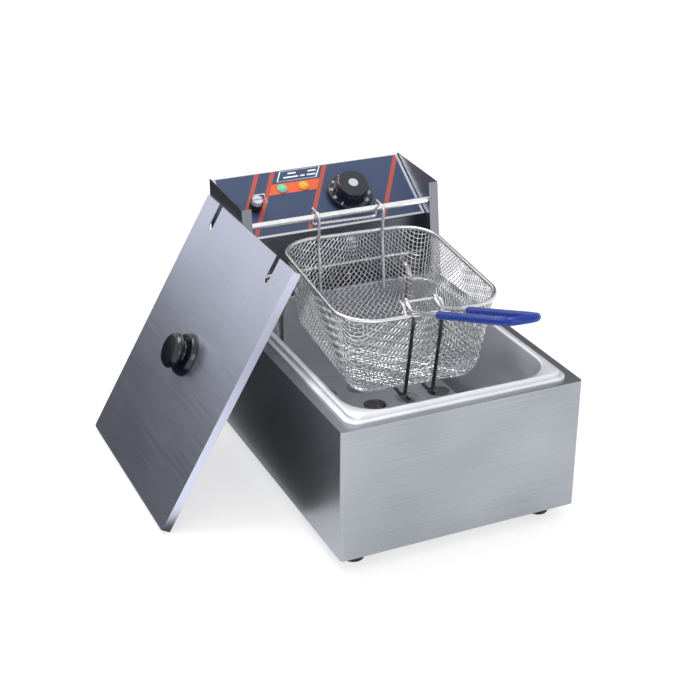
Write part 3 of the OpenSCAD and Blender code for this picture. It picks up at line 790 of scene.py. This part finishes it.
def woven_paths(table, side):
    """The wires along the table's rows; side is 1 where even crossings go outside, else -1."""
    wires = []
    for i, row in enumerate(table):
        cells = np.flatnonzero(row[:, 2] < RIM_CUT)
        if len(cells) < 3:
            continue
        cells = np.arange(cells[0] - 1, cells[-1] + 2)
        spots = row[cells]
        run = np.empty((2 * len(spots) - 1, 3))
        run[0::2], run[1::2] = spots, (spots[:-1] + spots[1:]) / 2
        run, normal = on_form(run)
        run[0::2] += normal[0::2] * WAVE * side * np.where((i + cells) % 2, 1, -1)[:, None]
        below = np.flatnonzero(run[:, 2] < RIM_CUT)
        ends = []
        for inner, outer in ((below[0], below[0] - 1), (below[-1], below[-1] + 1)):
            share = (RIM_CUT - run[inner, 2]) / (run[outer, 2] - run[inner, 2])
            ends.append(run[inner] + share * (run[outer] - run[inner]))
        wire = np.vstack((ends[0], run[below[0] : below[-1] + 1], ends[1])) - (0, BASKET_D / 2, 0)
        wires.append([tuple(p) for p in wire])
    return wires


for label, table, side in (("over", knots, 1), ("under", knots.transpose(1, 0, 2), -1)):
    wires = woven_paths(table, side)
    print(label, len(wires), "wires,", sum(map(len, wires)), "points")
    bent_wire(f"basket_weave_{label}", wires, WIRE, 5, plated_wire, "basket",
              ["basket_mesh"] if side == 1 else (), in_basket)

# %% [markdown]
# ## The handle
# Two wires run from the eyes on the bar, over the rim and forward, and end
# inside the grip. The grip is one loop of the same wire dipped in liquid
# PVC, which leaves a thick glossy coat with round ends.

# %% Bend the handle and dip its grip
ARM_WIRE, EYE_WIRE, EYE_R, ARM_Z = 5, 2.9, 3.55, 6.2
GRIP_D, GRIP_FROM, GRIP_TO, ARM_END = 8.4, 68, 231, 72


def along(s):
    """Y and Z of a point s mm along the rising handle, from just in front of the rim."""
    return (-BASKET_D - 4 - s * math.cos(HANDLE_RISE), ARM_Z + s * math.sin(HANDLE_RISE))


arms = both_sides(
    HANDLE_HALF, [(bar_y - 3.4, bar_z), (4 - BASKET_D, ARM_Z), along(0), along(ARM_END)], 3.5)
bent_wire("handle_arm_wires", arms, ARM_WIRE, 16, plated_wire, "handle", (), in_basket)
eyes = [
    [(HANDLE_X + side * HANDLE_HALF, bar_y + EYE_R * math.cos(a), bar_z + EYE_R * math.sin(a))
     for a in (math.radians(15 * k) for k in range(24))]
    for side in (-1, 1)
]
bent_wire("handle_eyes", eyes, EYE_WIRE, 12, plated_wire, "handle", ["handle_wire"],
          in_basket, closed=True)

start, tip = along(GRIP_FROM), along(GRIP_TO - GRIP_D / 2)
loop = [(HANDLE_X - HANDLE_HALF, *start), (HANDLE_X - HANDLE_HALF, *tip),
        (HANDLE_X + HANDLE_HALF, *tip), (HANDLE_X + HANDLE_HALF, *start)]
bent_wire("dipped_grip", [rounded_bends(loop, 14, 12)], GRIP_D, 24, dipped_pvc, "handle",
          ["handle_grip"], in_basket)

# %% [markdown]
# ## The heating element
# One tube comes down the back of the tank, runs to and fro over its floor
# in six passes, and goes up again. It is drawn with the same wire tree.

# %% Bend the element
low_z, front_y, back_y, plate_y = 39.5, -157.95, 55.6, 150
TUBE_D, TUBE_BEND = 8, 16
spacing = 2 * ELEMENT_X / 5
passes = [(-ELEMENT_X, plate_y, ELEMENT_EXIT), (-ELEMENT_X, ELEMENT_Y, ELEMENT_EXIT),
          (-ELEMENT_X, ELEMENT_Y, low_z), (-ELEMENT_X, front_y, low_z)]
for i in range(1, 5):
    ends = (front_y, back_y) if i % 2 else (back_y, front_y)
    passes += [(-ELEMENT_X + i * spacing, y, low_z) for y in ends]
passes += [(ELEMENT_X, front_y, low_z), (ELEMENT_X, ELEMENT_Y, low_z),
           (ELEMENT_X, ELEMENT_Y, ELEMENT_EXIT), (ELEMENT_X, plate_y, ELEMENT_EXIT)]
bent_wire("element_tube", [rounded_bends(passes, TUBE_BEND)], TUBE_D, 20, element_sheath,
          "head", ["heating_element"])

# %% [markdown]
# ## Turned shapes: dial, knob and feet
# A lathe makes the lid's knob, the dial's skirt and the rubber feet. On
# screen the same idea works: draw half of the outline and spin it. The
# outline is closed and its corners are rounded, so the moulded parts have
# no knife edges either.

# %% Turn the knob, the skirt and the feet
def turned(name, outline, place, material, body, replaces, steps=64):
    """outline is a closed run of (radius, height) points, from the axis or a bore and back to it."""
    points, faces = [], []
    count = len(outline)
    for k in range(steps):
        a = 2 * math.pi * k / steps
        points += [(r * math.cos(a), r * math.sin(a), h) for r, h in outline]
        here, there = k * count, (k + 1) % steps * count
        faces += [(here + i, there + i, there + (i + 1) % count, here + (i + 1) % count)
                  for i in range(count)]
    mesh = mesh_from(points, faces, place)
    work = bmesh.new()
    work.from_mesh(mesh)
    bmesh.ops.remove_doubles(work, verts=work.verts, dist=1e-7)
    bmesh.ops.dissolve_degenerate(work, edges=work.edges, dist=1e-7)
    bmesh.ops.recalc_face_normals(work, faces=work.faces)
    work.to_mesh(mesh)
    work.free()
    return place_piece(name, mesh, material, body, replaces, edge_angle=40)


def rounded_outline(corners, radius, steps=4):
    """The outline with each corner bevelled by radius, or less where a side is short."""
    count, route = len(corners), []
    for i in range(count):
        before, corner, after = (np.array(corners[j % count], float) for j in (i - 1, i, i + 1))
        reach = [min(radius, np.linalg.norm(p - corner) * 0.45) for p in (before, after)]
        if corner[0] < 0.01 or min(reach) == 0:
            route.append(tuple(corner))
            continue
        route += [tuple(p) for p in one_bend(before, corner, after, reach, steps)]
    return route


knob_outline = [(2, 0), (27, 0), (24, 7), (12, 7), (12, 15), (20, 15), (22, 19), (18, 24),
                (0, 24), (0, 14), (2, 14)]
turned("lid_knob_turned", rounded_outline(knob_outline, 2.2), in_lid @ Matrix.Translation((0, 0, 10)),
       phenolic_knob, "lid", ["lid_knob"])
DIAL_FACE = 8.2
skirt_outline = [(3, 3.8), (29, 3.8), (27, DIAL_FACE), (3, DIAL_FACE)]
turned("dial_skirt_turned", rounded_outline(skirt_outline, 0.8), at_dial, dial_abs,
       "dial", ["dial_skirt"], 96)
foot_outline = [(5.5, 0), (12, 0), (14, FOOT_H), (2.2, FOOT_H), (2.2, 8), (5.5, 8)]
for end, y in (("front", -181), ("rear", 181)):
    for side, x in (("left", -116), ("right", 116)):
        turned(f"rubber_foot_{end}_{side}", rounded_outline(foot_outline, 1.0),
               Matrix.Translation((x, y, -FOOT_H)), foot_rubber, "housing",
               [f"foot_{end}_{side}"], 48)

# %% [markdown]
# ## The dial's grip
# The grip has ten finger flutes and a slight taper. Its outline at any
# height is a circle with ten scoops taken out, so it is another loft: the
# same scooped ring, a little smaller as it rises, with a rounded top edge.

# %% Loft the fluted grip
FLUTES, CUTTER_R, CUTTER_AT = 10, 4, 24.2  # the scoops, their radius, and their middles from the axis
GRIP_FOOT_R, GRIP_TOP_R, GRIP_H = 21.5, 19.5, 15.8


def fluted_ring(radius, z, steps=200):
    ring = []
    for a in (2 * math.pi * k / steps for k in range(steps)):
        off = abs((a + math.pi / FLUTES) % (2 * math.pi / FLUTES) - math.pi / FLUTES)
        across, r = CUTTER_AT * math.sin(off), radius
        if across < CUTTER_R:
            r = min(radius, CUTTER_AT * math.cos(off) - math.sqrt(CUTTER_R**2 - across**2))
        ring.append((r * math.cos(a), r * math.sin(a), z))
    return ring


taper = (GRIP_FOOT_R - GRIP_TOP_R) / GRIP_H
grip_rings = [fluted_ring(GRIP_FOOT_R - taper * h, DIAL_FACE + h) for h in (0, 5, 10, 14.2)]
for share, z in ((0.995, 23.0), (0.975, 23.6), (0.93, 23.95), (0.86, 24)):
    grip_rings.append([(x * share, y * share, z) for x, y, _ in fluted_ring(19.6, 0)])
points, faces = loft(grip_rings)
place_piece("dial_grip_fluted", mesh_from(points, faces, at_dial), dial_abs, "dial",
            ["dial_grip"], edge_angle=50)

# %% [markdown]
# ## Ticks on the dial
# The dial is hot stamped with its temperatures, in degrees, and a tick
# at each of them. The ticks repeat round a circle, so Geometry Nodes
# place them: points on an arc, a small bar on each, turned to face out.

# %% Stamp the ticks with Geometry Nodes
tick_tree, given = named_tree("ticks on an arc", {
    "Count": "Int", "Radius": "Float", "First Angle": "Float", "Sweep": "Float",
    "Tick Size": "Vector", "Material": "Material"})
dots = add_node(tick_tree, "GeometryNodePoints", {"Count": given["Count"]})
index = add_node(tick_tree, "GeometryNodeInputIndex")
gaps = maths(tick_tree, "SUBTRACT", given["Count"], 1.0)
share = maths(tick_tree, "DIVIDE", index, gaps)
angle = maths(tick_tree, "MULTIPLY_ADD", share, given["Sweep"], given["First Angle"])
out = add_node(tick_tree, "ShaderNodeCombineXYZ",
               {0: maths(tick_tree, "COSINE", angle), 1: maths(tick_tree, "SINE", angle)})
ray = add_node(tick_tree, "ShaderNodeVectorMath", {0: out, "Scale": given["Radius"]}, operation="SCALE")
spread = add_node(tick_tree, "GeometryNodeSetPosition", {"Geometry": dots, "Position": ray})
turn = add_node(tick_tree, "ShaderNodeCombineXYZ", {2: angle})
bar = add_node(tick_tree, "GeometryNodeMeshCube", {"Size": given["Tick Size"]})
copies = add_node(tick_tree, "GeometryNodeInstanceOnPoints",
                  {"Points": spread, "Instance": bar, "Rotation": turn})
solid = add_node(tick_tree, "GeometryNodeRealizeInstances", {0: copies})
inked = add_node(tick_tree, "GeometryNodeSetMaterial", {"Geometry": solid, "Material": given["Material"]})
add_node(tick_tree, "NodeGroupOutput", {0: inked})

MARKS, TICK_R, NUMBER_R, NUMBER_H, STAMP_Z = 10, 26.2, 23.4, 4.4, DIAL_FACE + 0.02
ticks = run_tree(mesh_from([(0, 0, 0)], []), tick_tree, {
    "Count": MARKS, "Radius": TICK_R * MM, "First Angle": math.radians(-45), "Sweep": math.radians(270),
    "Tick Size": (1.2 * MM, 0.6 * MM, 0.12 * MM), "Material": stamped_white})
ticks.transform(Matrix.Scale(MM, 4) @ at_dial @ Matrix.Translation((0, 0, STAMP_Z)) @ Matrix.Scale(1 / MM, 4))
place_piece("dial_ticks", ticks, stamped_white, "dial")

# %% [markdown]
# ## Stamping the numbers
# Each number is a text with a little thickness. It becomes a mesh before it
# is turned to its angle round the dial, and the ten are joined as one piece.

# %% Stamp the numbers
def number_mesh(word, height):
    curve = bpy.data.curves.new("number", "FONT")
    curve.body, curve.size, curve.align_x, curve.align_y = word, height, "CENTER", "CENTER"
    curve.extrude = 0.05
    draft = in_scene("number", curve)
    mesh = bpy.data.meshes.new_from_object(draft.evaluated_get(bpy.context.evaluated_depsgraph_get()))
    bpy.data.objects.remove(draft)
    return mesh


def joined(meshes):
    whole = bmesh.new()
    for one in meshes:
        whole.from_mesh(one)
    mesh = bpy.data.meshes.new("joined")
    whole.to_mesh(mesh)
    whole.free()
    return mesh


numbers = []
for i in range(MARKS):
    mesh = number_mesh(str(50 + 15 * i) if i else "0", NUMBER_H)
    mesh.transform(Matrix.Scale(MM, 4) @ at_dial @ Matrix.Rotation(math.radians(135 - 30 * i), 4, "Z")
                   @ Matrix.Translation((0, NUMBER_R, STAMP_Z)))
    numbers.append(mesh)
place_piece("dial_numbers", joined(numbers), stamped_white, "dial")

# %% [markdown]
# ## The printed film
# The film on the panel is navy with four slanted red stripes, an orange
# patch behind the two lamps and a white frame above it. Ink is a few
# hundredths of a millimetre thick, so each print is a very thin slab just
# proud of the film. What is printed inside the frame is only a few plain
# bars, in place of words.

# %% Print the panel
FILM_FACE, INK = 0.3, 0.04  # the height of the film's face, and the ink's thickness, in mm
STRIPE_SLOPE, STRIPE_HALF, FILM_TOP = 0.578, 3.1, 99


def ink_slab(outline):
    """A thin prism over an outline in panel mm, counterclockwise."""
    count = len(outline)
    points = [(u, v, z) for z in (FILM_FACE, FILM_FACE + INK) for u, v in outline]
    faces = [tuple(reversed(range(count))), tuple(range(count, 2 * count))]
    faces += [(i, (i + 1) % count, count + (i + 1) % count, count + i) for i in range(count)]
    return mesh_from(points, faces, on_panel)


def clipped(outline, limit):
    """The part of the outline with u under the limit."""
    kept = []
    for (u0, v0), (u1, v1) in zip(outline, outline[1:] + outline[:1]):
        if u0 <= limit:
            kept.append((u0, v0))
        if (u0 - limit) * (u1 - limit) < 0:
            share = (limit - u0) / (u1 - u0)
            kept.append((u0 + share * (u1 - u0), v0 + share * (v1 - v0)))
    return kept


def slanted(left, right, low, high):
    """A band that leans as the stripes do; left and right are measured at the film's top."""
    return [(u - STRIPE_SLOPE * (FILM_TOP - v), v)
            for u, v in ((left, low), (right, low), (right, high), (left, high))]


def frame_of(corners, width):
    """Four thin bars round a quadrilateral."""
    middle = np.mean(corners, axis=0)
    inner = [tuple(np.array(c) + (middle - c) / np.linalg.norm(middle - c) * width * 1.5) for c in corners]
    return [ink_slab([corners[i - 1], corners[i], inner[i], inner[i - 1]]) for i in (1, 2, 3, 0)]


stripes = [ink_slab(clipped(slanted(u - STRIPE_HALF, u + STRIPE_HALF, 3.7, 95.0), 121.3))
           for u in (-65, -44, 25.6, 124.3)]
place_piece("red_stripes", joined(stripes), red_ink, "head")
place_piece("orange_patch", ink_slab(slanted(-40.9, 22.5, 60.5, 76)), orange_ink, "head")

label = [(-46.6, 78.8), (6.5, 78.5), (16.6, 94.4), (-37.9, 94.1)]
marks = frame_of(label, 1.0)
for left, right, low, high in ((-29, -18, 88.6, 90.6), (-2, 9, 88.6, 90.6), (-36.5, -17, 83, 85),
                               (-14, -8, 83, 85), (-5, 6.5, 83, 85)):
    marks.append(ink_slab([(left, low), (right, low), (right + 1, high), (left + 1, high)]))
marks += frame_of([(-84, 51), (-68, 51), (-68, 65), (-84, 65)], 0.9)
place_piece("white_print", joined(marks), white_ink, "head")

# %% [markdown]
# ## The rest of the CAD model
# The parts that are already right as they are, such as screws, nuts, the
# rail and what is inside the head, stay as CAD nodes and only get a
# material. A table says which part is made of what.

# %% Give every other CAD node its material
finishes = {
    housing_sheet: ["base_plate"],
    head_sheet: ["rear_cover", "head_base"],
    riser_sheet: ["element_plate"],
    guard_plate: ["element_cover", "cover_legs", "element_guard"],
    zinc_plate: ["foot_screws", "base_screws", "rear_cover_screws", "lid_knob_screw", "element_nuts"],
    polished_tube: ["basket_rail"],
    plated_wire: ["handle_bar"],
    plated_bulb: ["sensor_bulbs", "sensor_capillaries"],
    machined_brass: ["earth_stud"],
    spun_aluminium: ["dial_disc", "dial_spindle"],
    navy_film: ["panel_overlay"],
    green_lens: ["lamp_lens_green"],
    amber_lens: ["lamp_lens_yellow"],
    cream_urea: ["lamp_bodies", "terminal_block"],
    brown_phenolic: ["thermostat_body", "safety_limiter"],
    moulded_nylon: ["fuse_holder", "contactor", "interlock_switch", "cable_gland", "gland_nut"],
    fuse_grey: ["fuse_cap"],
    fuse_glass: ["fuse_link"],
}
for material, names in finishes.items():
    for name in names:
        nodes[name].data.materials.clear()
        nodes[name].data.materials.append(material)
shown = [n for n, node in nodes.items() if not node.hide_render]
given_looks = [n for names in finishes.values() for n in names]
print("shown with no finish of their own:", sorted(set(shown) - set(given_looks)))

# %% [markdown]
# ## The size, measured again
# Looks may not change the size. The box of the whole object is measured
# again and written beside the CAD model's box, so that the two can be
# compared.

# %% Write both boxes and finish
visual_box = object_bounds()
for name, low, high in (("CAD", *cad_box), ("visual", *visual_box)):
    print(name, "box", [round(c / MM, 1) for c in low], "to", [round(c / MM, 1) for c in high])
